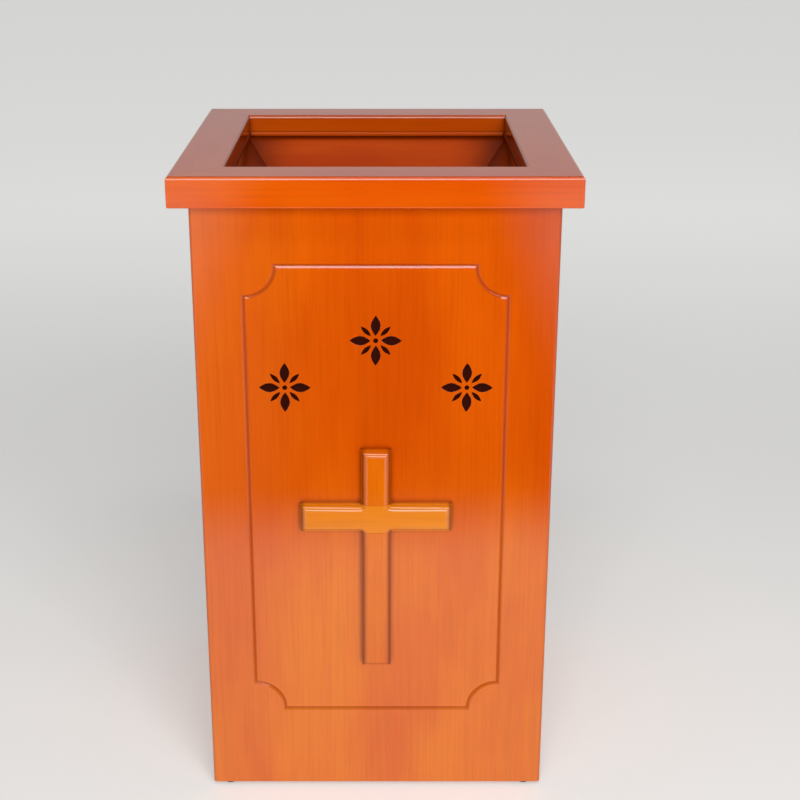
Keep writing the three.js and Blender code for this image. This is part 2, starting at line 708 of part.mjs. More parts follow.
const HINGES = [
  { name: "upper", z: OPENING_MIDDLE + HINGE_RISE },
  { name: "lower", z: OPENING_MIDDLE - HINGE_RISE },
];
const LEAF_SCREWS = [
  { name: "top", z: HINGE_HEIGHT * LEAF_SCREW_SHARE },
  { name: "bottom", z: -HINGE_HEIGHT * LEAF_SCREW_SHARE },
];
const LEAF_SCREW_X = (LEAF_WIDTH + KNUCKLE_RADIUS + FIT_GAP) / 2;
const LEAF_FACE = HALF_DEPTH + LEAF_THICKNESS;

// Where the screws of one side's leaves sit, at the leaf's outer face. Side is -1 on the box, 1 on the door.
function hingeScrewPlaces(side) {
  return HINGES.flatMap((hinge) =>
    LEAF_SCREWS.map((screw) => [HINGE_X + side * LEAF_SCREW_X, LEAF_FACE, hinge.z + screw.z]),
  );
}

// A leaf about the pin's axis, with every other knuckle. Side is -1 on the box, 1 on the door.
function hingeLeaf(side) {
  const pitch = HINGE_HEIGHT / KNUCKLES;
  const back = -KNUCKLE_RADIUS;
  const near = Math.min(0, side * LEAF_WIDTH);
  const plate = block(
    [near, back, -HINGE_HEIGHT / 2],
    [near + LEAF_WIDTH, back + LEAF_THICKNESS, HINGE_HEIGHT / 2],
  );
  let leaf = solid(plate);
  for (let i = 0; i < KNUCKLES; i++) {
    const z0 = -HINGE_HEIGHT / 2 + i * pitch;
    const own = (i % 2 === 0) === side < 0;
    if (own) leaf = leaf.add(solid(rod(KNUCKLE_RADIUS, z0, z0 + pitch)));
  }
  for (let i = 0; i < KNUCKLES; i++) {
    const z0 = -HINGE_HEIGHT / 2 + i * pitch;
    const own = (i % 2 === 0) === side < 0;
    const room = rod(KNUCKLE_RADIUS + FIT_GAP, z0 - FIT_GAP / 2, z0 + pitch + FIT_GAP / 2);
    if (!own) leaf = leaf.subtract(solid(room));
  }
  leaf = leaf.subtract(solid(rod(PIN_BORE, -HINGE_HEIGHT, HINGE_HEIGHT)));
  for (const { z } of LEAF_SCREWS) {
    const hole = screwHole(SCREW_LENGTH).rotateX(-Math.PI / 2);
    leaf = leaf.subtract(solid(hole.translate(side * LEAF_SCREW_X, back + LEAF_THICKNESS, z)));
  }
  return geometryOf(leaf);
}

function hingePin() {
  const end = HINGE_HEIGHT / 2 + FIT_GAP;
  const dome = end + PIN_HEAD_HEIGHT;
  return turned(
    [
      [0, -dome],
      [PIN_HEAD_RADIUS * PIN_HEAD_FLAT, -dome],
      [PIN_HEAD_RADIUS, -dome + PIN_HEAD_HEIGHT / 2],
      [PIN_HEAD_RADIUS, -end],
      [PIN_RADIUS, -end],
      [PIN_RADIUS, end],
      [PIN_HEAD_RADIUS, end],
      [PIN_HEAD_RADIUS, dome - PIN_HEAD_HEIGHT / 2],
      [PIN_HEAD_RADIUS * PIN_HEAD_FLAT, dome],
      [0, dome],
    ],
    SCREW_SEGMENTS,
  );
}

function buildHinges() {
  for (const hinge of HINGES) {
    const at = groupAt(offeringBox, [HINGE_X, HINGE_Y, hinge.z]);
    add(at, `hinge_${hinge.name}_box_leaf`, hingeLeaf(-1), brass);
    add(at, `hinge_${hinge.name}_door_leaf`, hingeLeaf(1), brass);
    add(at, `hinge_${hinge.name}_pin`, hingePin(), brass);
    for (const [owner, side] of [["box", -1], ["door", 1]]) {
      for (const { name, z } of LEAF_SCREWS) {
        const screw = woodScrew(SCREW_LENGTH).rotateX(-Math.PI / 2);
        const place = [side * LEAF_SCREW_X, LEAF_THICKNESS - KNUCKLE_RADIUS, z];
        add(at, `hinge_${hinge.name}_${owner}_screw_${name}`, screw, brass, place);
      }
    }
  }
}

// ---------------------------------------------------------------- door and lock

// Turns a geometry built along Z so that its +Z end points out of the box's back, +Y.
function outwards(geometry) {
  return geometry.rotateX(-Math.PI / 2);
}

function buildDoor() {
  const r = DOOR_ROUND;
  const plan = roundedRectangle(
    -DOOR_HALF_WIDTH,
    INNER_HALF_DEPTH,
    DOOR_HALF_WIDTH,
    HALF_DEPTH,
    [0, 0, r, r],
  );
  const board = raise(plan, DOOR_HEIGHT).translate(0, 0, OPENING_MIDDLE - DOOR_HEIGHT / 2);
  const lockHole = rod(LOCK_BARREL_RADIUS + FIT_GAP, -WALL - CUT_OVER, CUT_OVER);
  const screws = hingeScrewPlaces(1).map(([x, y, z]) => outwards(screwHole(SCREW_LENGTH)).translate(x, y, z));
  const door = cut(board, [outwards(lockHole).translate(LOCK_X, HALF_DEPTH, OPENING_MIDDLE), ...screws]);
  add(offeringBox, "rear_door", door, wood);
}

const BARREL_END = -WALL - LOCK_NUT_THICKNESS - 2 * FIT_GAP;
const CAM_FRONT = BARREL_END - 2 * FIT_GAP;
const CAM_BACK = CAM_FRONT - CAM_THICKNESS;

// The barrel that is fixed in the door, with the flange that covers its hole.
function lockBarrel() {
  const bore = LOCK_PLUG_RADIUS + TURN_CLEARANCE;
  const tube = turned([
    [0, BARREL_END],
    [LOCK_BARREL_RADIUS, BARREL_END],
    [LOCK_BARREL_RADIUS, 0],
    [LOCK_FLANGE_RADIUS, 0],
    [LOCK_FLANGE_RADIUS, LOCK_FLANGE_HEIGHT - LOCK_FLANGE_EDGE],
    [LOCK_FLANGE_RADIUS - LOCK_FLANGE_EDGE, LOCK_FLANGE_HEIGHT],
    [0, LOCK_FLANGE_HEIGHT],
  ]);
  return cut(tube, [rod(bore, BARREL_END - CUT_OVER, LOCK_FLANGE_HEIGHT + CUT_OVER)]);
}

function lockNut() {
  const corner = LOCK_NUT_FLATS / Math.sqrt(3);
  const top = -WALL;
  const hexagon = new THREE.CylinderGeometry(corner, corner, LOCK_NUT_THICKNESS, 6);
  const nut = hexagon.rotateX(Math.PI / 2).translate(0, 0, top - LOCK_NUT_THICKNESS / 2);
  const bore = LOCK_BARREL_RADIUS + TURN_CLEARANCE;
  return cut(nut, [rod(bore, top - LOCK_NUT_THICKNESS - CUT_OVER, top + CUT_OVER)]);
}

// The plug that the key turns: a round plug with a keyway, and a square end for the cam.
function lockPlug() {
  const face = LOCK_FLANGE_HEIGHT - FIT_GAP;
  const shoulder = BARREL_END - FIT_GAP;
  const half = CAM_SQUARE / 2;
  const square = block([-half, -half, CAM_BACK], [half, half, shoulder]);
  const plug = solid(rod(LOCK_PLUG_RADIUS, shoulder, face)).add(solid(square));
  const keyway = block(
    [-KEYWAY_LENGTH / 2, -KEYWAY_WIDTH / 2, face - KEYWAY_DEPTH],
    [KEYWAY_LENGTH / 2, KEYWAY_WIDTH / 2, face + CUT_OVER],
  );
  const thread = rod(
    CAM_SCREW_RADIUS + TURN_CLEARANCE,
    CAM_BACK - CUT_OVER,
    CAM_BACK + CAM_SCREW_LENGTH + FIT_GAP,
    SCREW_SEGMENTS,
  );
  return geometryOf(plug.subtract(solid(keyway)).subtract(solid(thread)));
}

// The cam: a flat tongue, bent towards the panel that it catches behind. It points up +Y here.
function lockCam() {
  const nutCorner = LOCK_NUT_FLATS / Math.sqrt(3);
  const bendStart = nutCorner + CAM_CATCH_GAP;
  const tongueFront = -WALL - CAM_CATCH_GAP;
  const bend = tongueFront - CAM_FRONT;
  const heel = -CAM_WIDTH / 2;
  const side = new THREE.Shape();
  side.moveTo(heel, CAM_BACK);
  side.lineTo(bendStart, CAM_BACK);
  side.lineTo(bendStart + bend, CAM_BACK + bend);
  side.lineTo(CAM_REACH, CAM_BACK + bend);
  side.lineTo(CAM_REACH, CAM_FRONT + bend);
  side.lineTo(bendStart + bend, CAM_FRONT + bend);
  side.lineTo(bendStart, CAM_FRONT);
  side.lineTo(heel, CAM_FRONT);
  const half = CAM_WIDTH / 2;
  const plate = reshape(raise(side, CAM_WIDTH), (u, v, w) => [w - half, u, v], false);
  const [h, t] = [CAM_HEEL_RADIUS, CAM_TIP_RADIUS];
  const corners = roundedRectangle(-half, heel, half, CAM_REACH, [h, h, t, t]);
  const outline = raise(corners, 2 * WALL).translate(0, 0, -2 * WALL);
  const hole = CAM_SQUARE / 2 + TURN_CLEARANCE;
  const square = block([-hole, -hole, CAM_BACK - CUT_OVER], [hole, hole, CAM_FRONT + CUT_OVER]);
  return geometryOf(solid(plate).intersect(solid(outline)).subtract(solid(square)));
}

function camScrew() {
  const under = CAM_BACK - FIT_GAP;
  const outer = under - CAM_SCREW_HEAD_HEIGHT;
  const screw = turned(
    [
      [0, outer],
      [CAM_SCREW_HEAD - CAM_SCREW_EDGE, outer],
      [CAM_SCREW_HEAD, outer + CAM_SCREW_EDGE],
      [CAM_SCREW_HEAD, under],
      [CAM_SCREW_RADIUS, under],
      [CAM_SCREW_RADIUS, CAM_BACK + CAM_SCREW_LENGTH],
      [0, CAM_BACK + CAM_SCREW_LENGTH],
    ],
    SCREW_SEGMENTS,
  );
  const halfSlot = CAM_SCREW_SLOT / 2;
  const slot = block(
    [-CAM_SCREW_HEAD, -halfSlot, outer - CUT_OVER],
    [CAM_SCREW_HEAD, halfSlot, outer + CAM_SCREW_SLOT],
  );
  return cut(screw, [slot]);
}

function buildLock() {
  const lock = groupAt(offeringBox, [LOCK_X, HALF_DEPTH, OPENING_MIDDLE]);
  add(lock, "lock_barrel", outwards(lockBarrel()), steel);
  add(lock, "lock_nut", outwards(lockNut()), steel);
  add(lock, "lock_plug", outwards(lockPlug()), steel);
  add(lock, "lock_cam", outwards(lockCam()), steel);
  add(lock, "lock_cam_screw", outwards(camScrew()), steel);
}

// ---------------------------------------------------------------- assembly

buildFeet();
buildFrontPanel();
buildSidesAndBottom();
buildBackPanel();
buildDoorStops();
buildRim();
buildHopper();
buildCross();
buildHinges();
buildDoor();
buildLock();

export default offeringBox;
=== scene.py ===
"""The looks of a church offering box: lacquered wood, brass hinges, a steel lock and black feet.

Metres, +Z up, and the front faces -Y. The box itself, its sizes and its moving bodies come from
the frame; this script gives every piece its material and fine surface, and adds the floor, the
lights and the camera.
"""

import math
from collections import namedtuple

import bpy
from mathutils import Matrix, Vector


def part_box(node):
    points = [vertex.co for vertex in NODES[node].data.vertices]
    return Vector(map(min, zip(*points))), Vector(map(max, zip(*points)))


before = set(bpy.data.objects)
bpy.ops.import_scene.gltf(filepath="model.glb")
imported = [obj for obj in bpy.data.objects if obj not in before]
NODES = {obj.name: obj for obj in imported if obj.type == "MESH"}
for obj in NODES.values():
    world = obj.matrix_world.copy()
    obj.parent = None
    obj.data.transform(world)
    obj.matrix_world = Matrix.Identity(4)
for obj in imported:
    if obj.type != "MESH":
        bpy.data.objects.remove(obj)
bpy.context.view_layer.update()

# ---------------------------------------------------------------- places taken from the frame

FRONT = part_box("front_panel")[0].y  # the face that carries the cross
MOUTH_HALF = -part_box("rim_front")[1].y
CROSS_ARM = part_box("cross_bar")[1].x
CROSS_HALF_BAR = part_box("cross_upright")[1].x

# ---------------------------------------------------------------- named values


def colour(red, green, blue):
    return (red, green, blue, 1.0)


# Camera
CAMERA_PLACE = (0.009, -1.413, 0.861)
CAMERA_TILT = math.radians(20.15)  # below level
CAMERA_LENS = 67.8
CAMERA_SHIFT = 0.0175

# Lights
LIGHT_AIM = (0.0, 0.0, 0.4)
SOFTBOX = {"place": (0.35, -2.6, 1.55), "size": (2.2, 1.5), "power": 66.0}
STRIP = {"place": (0.1, -1.15, 2.6), "size": (1.6, 0.35), "power": 12.0}

# Room
WALL_LIGHT = colour(0.52, 0.52, 0.52)
ROOM_LIGHT = colour(0.10, 0.10, 0.10)
WALL_TOP = (0.45, 0.70)  # how high the pale wall behind reaches, as the height of a direction
WALL_SIDE = (-0.15, 0.35)  # how far round to the front it reaches

# Floor
FLOOR_SIZE = 60.0
FLOOR_COLOUR = colour(0.80, 0.80, 0.785)
FLOOR_GLOW = (0.33, 0.63)  # near the box, and far behind it
FLOOR_GLOW_REACH = (0.3, 2.5)
FLOOR_ROUGHNESS = 0.75
FLOOR_SHINE = 0.2

# Carving on the front panel
FLOWER_ZONE_HALF_WIDTH = 0.108
FLOWER_ZONE_LOW = 0.375
FLOWER_ZONE_HIGH = 0.485
PAINT_FROM = 0.00003  # the paint and the groove's darkening begin this far below the face
PAINT_FULL = 0.0001
CARVING_DEPTH = 0.004
# how much darker the carved groove is made
GROOVE_DARKENING = 0.12

# Uneven stain, painted reflection and painted shade
REFLECTION_LOW = (0.20, 0.36)  # painted reflection: the panels are lighter towards the floor, which they mirror
REFLECTION_SIDE = (-0.155, -0.035)  # and a little towards their left edge, also painted reflection
REFLECTION_SIDE_SHARE = 0.8
MOUTH_ARRIS = (0.0005, 0.0025)  # the rim's inner faces, dark with painted shade, turn pale over its rounded edge
CROSS_EDGE = 0.0055  # painted shade on the edges of the cross that face sideways
CROSS_EDGE_FULL = 0.2  # the share of the edge that is darkest
CROSS_EDGE_SHARE = 0.62
BEAD_COAT = 0.12
OPEN_CORNER_SHADE = (0.007, 0.75, 0.2)  # how far, how strongly and how soon painted shade darkens the corners
PANEL_CORNER_SHADE = (0.006, 0.6, 0.2)
HOPPER_CORNER_SHADE = (0.05, 0.95, 0.55)
CORNER_SHADE_EDGE = 0.95  # the openness at which the painted shade begins
CREVICE_SAMPLES = 8
TARNISH_REACH = 0.002
TARNISH_LEVELS = (0.15, 0.9)
TARNISH_SHARE = 0.8

# Stains, each as its light and its deep colour
STAINS = {
    "body": (colour(0.63, 0.090, 0.0010), colour(0.55, 0.066, 0.0008)),
    "rim": (colour(0.68, 0.104, 0.0015), colour(0.62, 0.072, 0.001)),
    "bead": (colour(0.66, 0.090, 0.0015), colour(0.56, 0.062, 0.001)),
    "hopper": (colour(0.60, 0.070, 0.002), colour(0.48, 0.042, 0.001)),
    # the hopper's side boards: a darker copy of the hopper's stain, as painted shade
    "hopper_side": (colour(0.17, 0.023, 0.007), colour(0.12, 0.014, 0.005)),
    "cross_upright": (colour(0.70, 0.155, 0.003), colour(0.64, 0.115, 0.002)),
    "cross_bar": (colour(0.74, 0.230, 0.005), colour(0.69, 0.170, 0.003)),
}
# lighter stain colours for the lower panels: painted reflection of the pale floor
REFLECTION_LIGHT = colour(0.72, 0.168, 0.006)
REFLECTION_DEEP = colour(0.64, 0.112, 0.009)
# dark of the grain's streaks and pores, and also of the painted shade in corners, in the mouth and
# on the cross's edges, and of the darker groove
DARK_STAIN_AND_SHADE = colour(0.16, 0.016, 0.001)
PAINT = colour(0.030, 0.0045, 0.0025)

# Bare wood, metals and plastic
BARE_LIGHT = colour(0.60, 0.38, 0.19)
BARE_DEEP = colour(0.42, 0.22, 0.09)
BARE_STREAK = colour(0.24, 0.11, 0.04)
BRASS = (colour(0.78, 0.57, 0.26), colour(0.42, 0.27, 0.11))
STEEL = (colour(0.78, 0.78, 0.77), colour(0.42, 0.41, 0.39))
ZINC = (colour(0.62, 0.61, 0.56), colour(0.34, 0.33, 0.30))
BRASS_ROUGHNESS = 0.2
STEEL_ROUGHNESS = 0.12
ZINC_ROUGHNESS = 0.3
SMEAR_ROUGHNESS = 0.1  # added by smears
SCRATCH_ROUGHNESS = 0.12  # added by scratches
PLASTIC = colour(0.010, 0.010, 0.010)
DUST = colour(0.09, 0.085, 0.08)

# Lacquer
COAT_ROUGHNESS = 0.12
COAT_IOR = 1.6
DULL_FACING = -0.98  # faces whose normal points further to the front than this can lose their lacquer: a painted dark reflection
DULL_FROM = (0.245, 0.32)  # the height at which the dull part begins, and is full
DULL_TOP = 0.861  # the dull part narrows towards this height
DULL_HALF_WIDTH = (0.27, 0.53)  # its half width, if it went down to the floor

# Noises, in waves a metre across and along the grain
Noise = namedtuple("Noise", "across along detail roughness", defaults=(0.55,))
PATCHES = Noise(11.0, 3.6, 3.0)
BANDS = Noise(60.0, 1.4, 2.0)
STREAKS = Noise(420.0, 9.0, 5.0, 0.65)
PORES = Noise(2300.0, 110.0, 2.0)
PEEL = Noise(260.0, 260.0, 1.0)
WAVES = Noise(28.0, 28.0, 1.0)
BARE_RINGS = Noise(130.0, 2.5, 3.0)
BARE_STREAKS = Noise(900.0, 20.0, 4.0)
SMEARS = Noise(110.0, 110.0, 3.0)
SCRATCHES = Noise(5200.0, 160.0, 2.0)
MOULD_TEXTURE = Noise(1600.0, 1600.0, 2.0)
DUST_SPECKS = Noise(240.0, 240.0, 4.0)

# How a noise comes in: from and to which of its levels, then the values there if not 0 and 1
PATCH_RAMP = (0.34, 0.68)
BAND_RAMP = (0.42, 0.72, 0.0, 0.30)
STREAK_RAMP = (0.40, 0.78, 0.0, 0.16)
PORE_RAMP = (0.60, 0.74, 0.0, 0.13)
STREAK_ROUGHNESS_RAMP = (0.3, 0.8, 0.5, 0.62)
BARE_RING_RAMP = (0.4, 0.62)
BARE_STREAK_RAMP = (0.5, 0.8, 0.0, 0.35)
BARE_ROUGHNESS_RAMP = (0.3, 0.7, 0.62, 0.8)
SMEAR_RAMP = (0.4, 0.75, 0.0, 0.5)
SMEAR_LEVELS = (0.3, 0.8)
SCRATCH_LEVELS = (0.4, 0.8)
DUST_RAMP = (0.55, 0.8, 0.0, 0.3)
PLASTIC_ROUGHNESS_RAMP = (0.3, 0.8, 0.42, 0.62)

# Depths of the fine relief
STREAK_RELIEF = 0.00002
PEEL_RELIEF = 0.00001
WAVE_RELIEF = 0.00006
BARE_RELIEF = 0.00006
SCRATCH_RELIEF = 0.00001
MOULD_RELIEF = 0.00003

# Edges
SOFT_ANGLE = math.radians(32)  # facets that meet at less than this are shaded as one curve
MERGE_DISTANCE = 0.00001
BEVEL_SEGMENTS = 2
FACE_WEIGHT = 80
BEVELS = {  # widths on the square-edged pieces; the others have their roundings already
    "left_panel": 0.0005,
    "right_panel": 0.0005,
    "rim_": 0.0004,
    "hopper_": 0.0006,
    "corner_post": 0.001,
    "bottom_board": 0.0006,
    "door_stop": 0.0008,
}

# Grain directions
ALONG_X, ALONG_Y, ALONG_Z = 0, 1, 2
AXIS_NAMES = "xyz"
MOUTH_SHADE = {ALONG_X: 0.35, ALONG_Y: 0.85}  # how much painted shade darkens the inner faces of the rim

# ---------------------------------------------------------------- building node trees


class Tree:
    """A node tree that is written one call at a time."""

    def __init__(self, tree, prefix="ShaderNode"):
        self.tree = tree
        self.prefix = prefix

    def put(self, socket, value):
        if isinstance(value, bpy.types.NodeSocket):
            self.tree.links.new(value, socket)
        else:
            socket.default_value = value

    def node(self, kind, inputs=None, **settings):
        made = self.tree.nodes.new(self.prefix + kind)
        for name, value in settings.items():
            setattr(made, name, value)
        for socket, value in (inputs or {}).items():
            self.put(made.inputs[socket], value)
        return made

    def math(self, operation, *values):
        inputs = dict(enumerate(values))
        return self.node("Math", inputs, operation=operation).outputs[0]

    def ramp(self, value, low, high, to_low=0.0, to_high=1.0):
        """value's stretch from low to high, mapped smoothly to the other range."""
        inputs = {"Value": value, 1: low, 2: high, 3: to_low, 4: to_high}
        return self.node("MapRange", inputs, interpolation_type="SMOOTHSTEP").outputs["Result"]

    def mix(self, share, first, second):
        inputs = {"Factor": share, 6: first, 7: second}
        return self.node("Mix", inputs, data_type="RGBA").outputs[2]

    def object_point(self):
        return self.node("TexCoord").outputs["Object"]

    def axes(self, vector):
        return self.node("SeparateXYZ", {0: vector}).outputs

    def noise(self, point, kind, axis=ALONG_Z):
        """One of the named noises, with its grain along axis."""
        scale = tuple(kind.along if i == axis else kind.across for i in range(3))
        stretched = self.node("Mapping", {"Vector": point, "Scale": scale}).outputs[0]
        inputs = {"Vector": stretched, "Scale": 1.0}
        inputs.update({"Detail": kind.detail, "Roughness": kind.roughness})
        return self.node("TexNoise", inputs).outputs["Fac"]

    def bump(self, height, distance, normal=None):
        inputs = {"Height": height, "Distance": distance}
        if normal:
            inputs["Normal"] = normal
        return self.node("Bump", inputs).outputs[0]

    def crevice(self, distance):
        """1 in open surface, towards 0 in corners that are nearer to a neighbour than distance."""
        settings = {"samples": CREVICE_SAMPLES}
        return self.node("AmbientOcclusion", {"Distance": distance}, **settings).outputs["AO"]


def new_material(name):
    material = bpy.data.materials.new(name)
    material.use_nodes = True
    tree = Tree(material.node_tree)
    return material, tree, material.node_tree.nodes["Principled BSDF"]


# ---------------------------------------------------------------- wood


def grain_colour(tree, point, axis, light, deep):
    """Stained wood: uneven patches, soft bands, and faint streaks and pores along one axis."""
    patches = tree.noise(point, PATCHES, axis)
    bands = tree.noise(point, BANDS, axis)
    streaks = tree.noise(point, STREAKS, axis)
    pores = tree.noise(point, PORES, axis)

    stain = tree.mix(tree.ramp(patches, *PATCH_RAMP), light, deep)
    stain = tree.mix(tree.ramp(bands, *BAND_RAMP), stain, deep)
    stain = tree.mix(tree.ramp(streaks, *STREAK_RAMP), stain, DARK_STAIN_AND_SHADE)
    stain = tree.mix(tree.ramp(pores, *PORE_RAMP), stain, DARK_STAIN_AND_SHADE)
    return stain, streaks


def front_gloss(tree, point, coat):
    """The lacquer's share: the upper part of the faces that look to the front is left without
    lacquer, a painted dark reflection where they would mirror the floor.
    """
    facing = tree.axes(tree.node("NewGeometry").outputs["True Normal"])["Y"]
    front = tree.ramp(facing, -1.0, DULL_FACING, 1.0, 0.0)
    axes = tree.axes(point)
    high = tree.ramp(axes["Z"], *DULL_FROM)
    narrowing = tree.math("SUBTRACT", 1.0, tree.math("DIVIDE", axes["Z"], DULL_TOP))
    beside = tree.math("DIVIDE", tree.math("ABSOLUTE", axes["X"]), narrowing)
    inside = tree.ramp(beside, *DULL_HALF_WIDTH, 1.0, 0.0)
    dull = tree.math("MULTIPLY", tree.math("MULTIPLY", front, high), inside)
    return tree.math("MULTIPLY", tree.math("SUBTRACT", 1.0, dull), coat)


def lacquer(tree, surface, point, streaks, coat):
    """Semi-gloss lacquer that follows the grain a little and has a faint orange peel."""
    peel = tree.noise(point, PEEL)
    waves = tree.noise(point, WAVES)
    grain_bump = tree.bump(streaks, STREAK_RELIEF)
    peel_bump = tree.bump(peel, PEEL_RELIEF, normal=grain_bump)
    coat_normal = tree.bump(waves, WAVE_RELIEF, normal=peel_bump)
    tree.put(surface.inputs["Normal"], grain_bump)
    tree.put(surface.inputs["Coat Normal"], coat_normal)
    tree.put(surface.inputs["Roughness"], tree.ramp(streaks, *STREAK_ROUGHNESS_RAMP))
    surface.inputs["Specular IOR Level"].default_value = 0.0
    tree.put(surface.inputs["Coat Weight"], front_gloss(tree, point, coat))
    surface.inputs["Coat Roughness"].default_value = COAT_ROUGHNESS
    surface.inputs["Coat IOR"].default_value = COAT_IOR


def painted_reflection_stain(tree, point, light, deep):
    """The two stain colours of a board, painted lighter towards the floor and the left as a
    reflection.
    """
    axes = tree.axes(point)
    low = tree.ramp(axes["Z"], *REFLECTION_LOW, 1.0, 0.0)
    left = tree.ramp(axes["X"], *REFLECTION_SIDE, REFLECTION_SIDE_SHARE, 0.0)
    reflected = tree.math("MAXIMUM", low, left)
    return tree.mix(reflected, light, REFLECTION_LIGHT), tree.mix(reflected, deep, REFLECTION_DEEP)


def stained_wood(name, stain, axis, coat=1.0, crevice=OPEN_CORNER_SHADE, fades=False, finish=None):
    """Lacquered wood, with painted shade darkening its corners and any overlay laid over it."""
    material, tree, surface = new_material(name)
    point = tree.object_point()
    light, deep = STAINS[stain]
    if fades:
        light, deep = painted_reflection_stain(tree, point, light, deep)
    shade, streaks = grain_colour(tree, point, axis, light, deep)
    reach, share, full = crevice
    # painted shade: darker where ambient occlusion finds a near neighbour
    painted_corner_shade = tree.ramp(tree.crevice(reach), full, CORNER_SHADE_EDGE, share, 0.0)
    shade = tree.mix(painted_corner_shade, shade, DARK_STAIN_AND_SHADE)
    lacquer(tree, surface, point, streaks, coat)
    if finish:
        shade = finish(tree, surface, point, shade)
    tree.put(surface.inputs["Base Color"], shade)
    return material


def painted_mouth_shade(share):
    """An overlay of painted shade that darkens the inner faces of the rim by share."""

    def finish(tree, surface, point, shade):
        axes = tree.axes(point)
        beside = tree.math("ABSOLUTE", axes["X"])
        out = tree.math("MAXIMUM", beside, tree.math("ABSOLUTE", axes["Y"]))
        dark_to, pale_from = (MOUTH_HALF + arris for arris in MOUTH_ARRIS)
        return tree.mix(tree.ramp(out, dark_to, pale_from, share, 0.0), shade, DARK_STAIN_AND_SHADE)

    return finish


def painted_edge_shade(half):
    """An overlay of painted shade that darkens the edges that lie half to each side of the middle.
    """

    def finish(tree, surface, point, shade):
        beside = tree.math("ABSOLUTE", tree.axes(point)["X"])
        full = half - CROSS_EDGE_FULL * CROSS_EDGE
        edge = tree.ramp(beside, half - CROSS_EDGE, full, 0.0, CROSS_EDGE_SHARE)
        return tree.mix(edge, shade, DARK_STAIN_AND_SHADE)

    return finish


def painted_carving(tree, surface, point, shade):
    """Dark matt paint in the carved flowers, and the carving made a little darker."""
    axes = tree.axes(point)
    sunk = tree.ramp(axes["Y"], FRONT + PAINT_FROM, FRONT + PAINT_FULL)
    from_front = tree.math("LESS_THAN", axes["Y"], FRONT + CARVING_DEPTH)
    carved = tree.math("MULTIPLY", sunk, from_front)
    beside = tree.math("ABSOLUTE", axes["X"])
    in_width = tree.math("LESS_THAN", beside, FLOWER_ZONE_HALF_WIDTH)
    above = tree.math("GREATER_THAN", axes["Z"], FLOWER_ZONE_LOW)
    below = tree.math("LESS_THAN", axes["Z"], FLOWER_ZONE_HIGH)
    zone = tree.math("MULTIPLY", tree.math("MULTIPLY", in_width, above), below)
    flower = tree.math("MULTIPLY", zone, carved)
    lacquered = tree.math("SUBTRACT", 1.0, flower)
    tree.put(surface.inputs["Coat Weight"], front_gloss(tree, point, lacquered))
    shade = tree.mix(tree.math("MULTIPLY", carved, GROOVE_DARKENING), shade, DARK_STAIN_AND_SHADE)
    return tree.mix(flower, shade, PAINT)


def bare_wood(name, axis):
    material, tree, surface = new_material(name)
    point = tree.object_point()
    rings = tree.noise(point, BARE_RINGS, axis)
    streaks = tree.noise(point, BARE_STREAKS, axis)
    base = tree.mix(tree.ramp(rings, *BARE_RING_RAMP), BARE_LIGHT, BARE_DEEP)
    base = tree.mix(tree.ramp(streaks, *BARE_STREAK_RAMP), base, BARE_STREAK)
    tree.put(surface.inputs["Base Color"], base)
    tree.put(surface.inputs["Roughness"], tree.ramp(rings, *BARE_ROUGHNESS_RAMP))
    tree.put(surface.inputs["Normal"], tree.bump(streaks, BARE_RELIEF))
    return material


# ---------------------------------------------------------------- metal and plastic


def worn_metal(name, bright, dull, rough, axis):
    """Polished metal with fine scratches along axis, faint smears, and tarnish in its corners."""
    material, tree, surface = new_material(name)
    point = tree.object_point()
    smears = tree.noise(point, SMEARS)
    scratches = tree.noise(point, SCRATCHES, axis)
    tarnish = tree.ramp(tree.crevice(TARNISH_REACH), *TARNISH_LEVELS, TARNISH_SHARE, 0.0)
    base = tree.mix(tree.ramp(smears, *SMEAR_RAMP), bright, dull)
    base = tree.mix(tarnish, base, dull)
    smeared = tree.ramp(smears, *SMEAR_LEVELS, rough, rough + SMEAR_ROUGHNESS)
    scratched = tree.ramp(scratches, *SCRATCH_LEVELS)
    worn = tree.math("MULTIPLY_ADD", scratched, SCRATCH_ROUGHNESS, smeared)
    tree.put(surface.inputs["Base Color"], base)
    tree.put(surface.inputs["Roughness"], worn)
    tree.put(surface.inputs["Normal"], tree.bump(scratches, SCRATCH_RELIEF))
    surface.inputs["Metallic"].default_value = 1.0
    return material


def moulded_plastic(name):
    material, tree, surface = new_material(name)
    point = tree.object_point()
    texture = tree.noise(point, MOULD_TEXTURE)
    dust = tree.noise(point, DUST_SPECKS)
    base = tree.mix(tree.ramp(dust, *DUST_RAMP), PLASTIC, DUST)
    tree.put(surface.inputs["Base Color"], base)
    tree.put(surface.inputs["Roughness"], tree.ramp(dust, *PLASTIC_ROUGHNESS_RAMP))
    tree.put(surface.inputs["Normal"], tree.bump(texture, MOULD_RELIEF))
    return material


# ---------------------------------------------------------------- materials by node

made_materials = {}


def shared(name, make, *values, **extras):
    """The material of that name, made once."""
    if name not in made_materials:
        made_materials[name] = make(name, *values, **extras)
    return made_materials[name]


def stained_for(look, stain, axis, **extras):
    return shared(f"{look}_wood_{AXIS_NAMES[axis]}", stained_wood, stain, axis, **extras)


def bare_for(axis):
    return shared(f"bare_wood_{AXIS_NAMES[axis]}", bare_wood, axis)


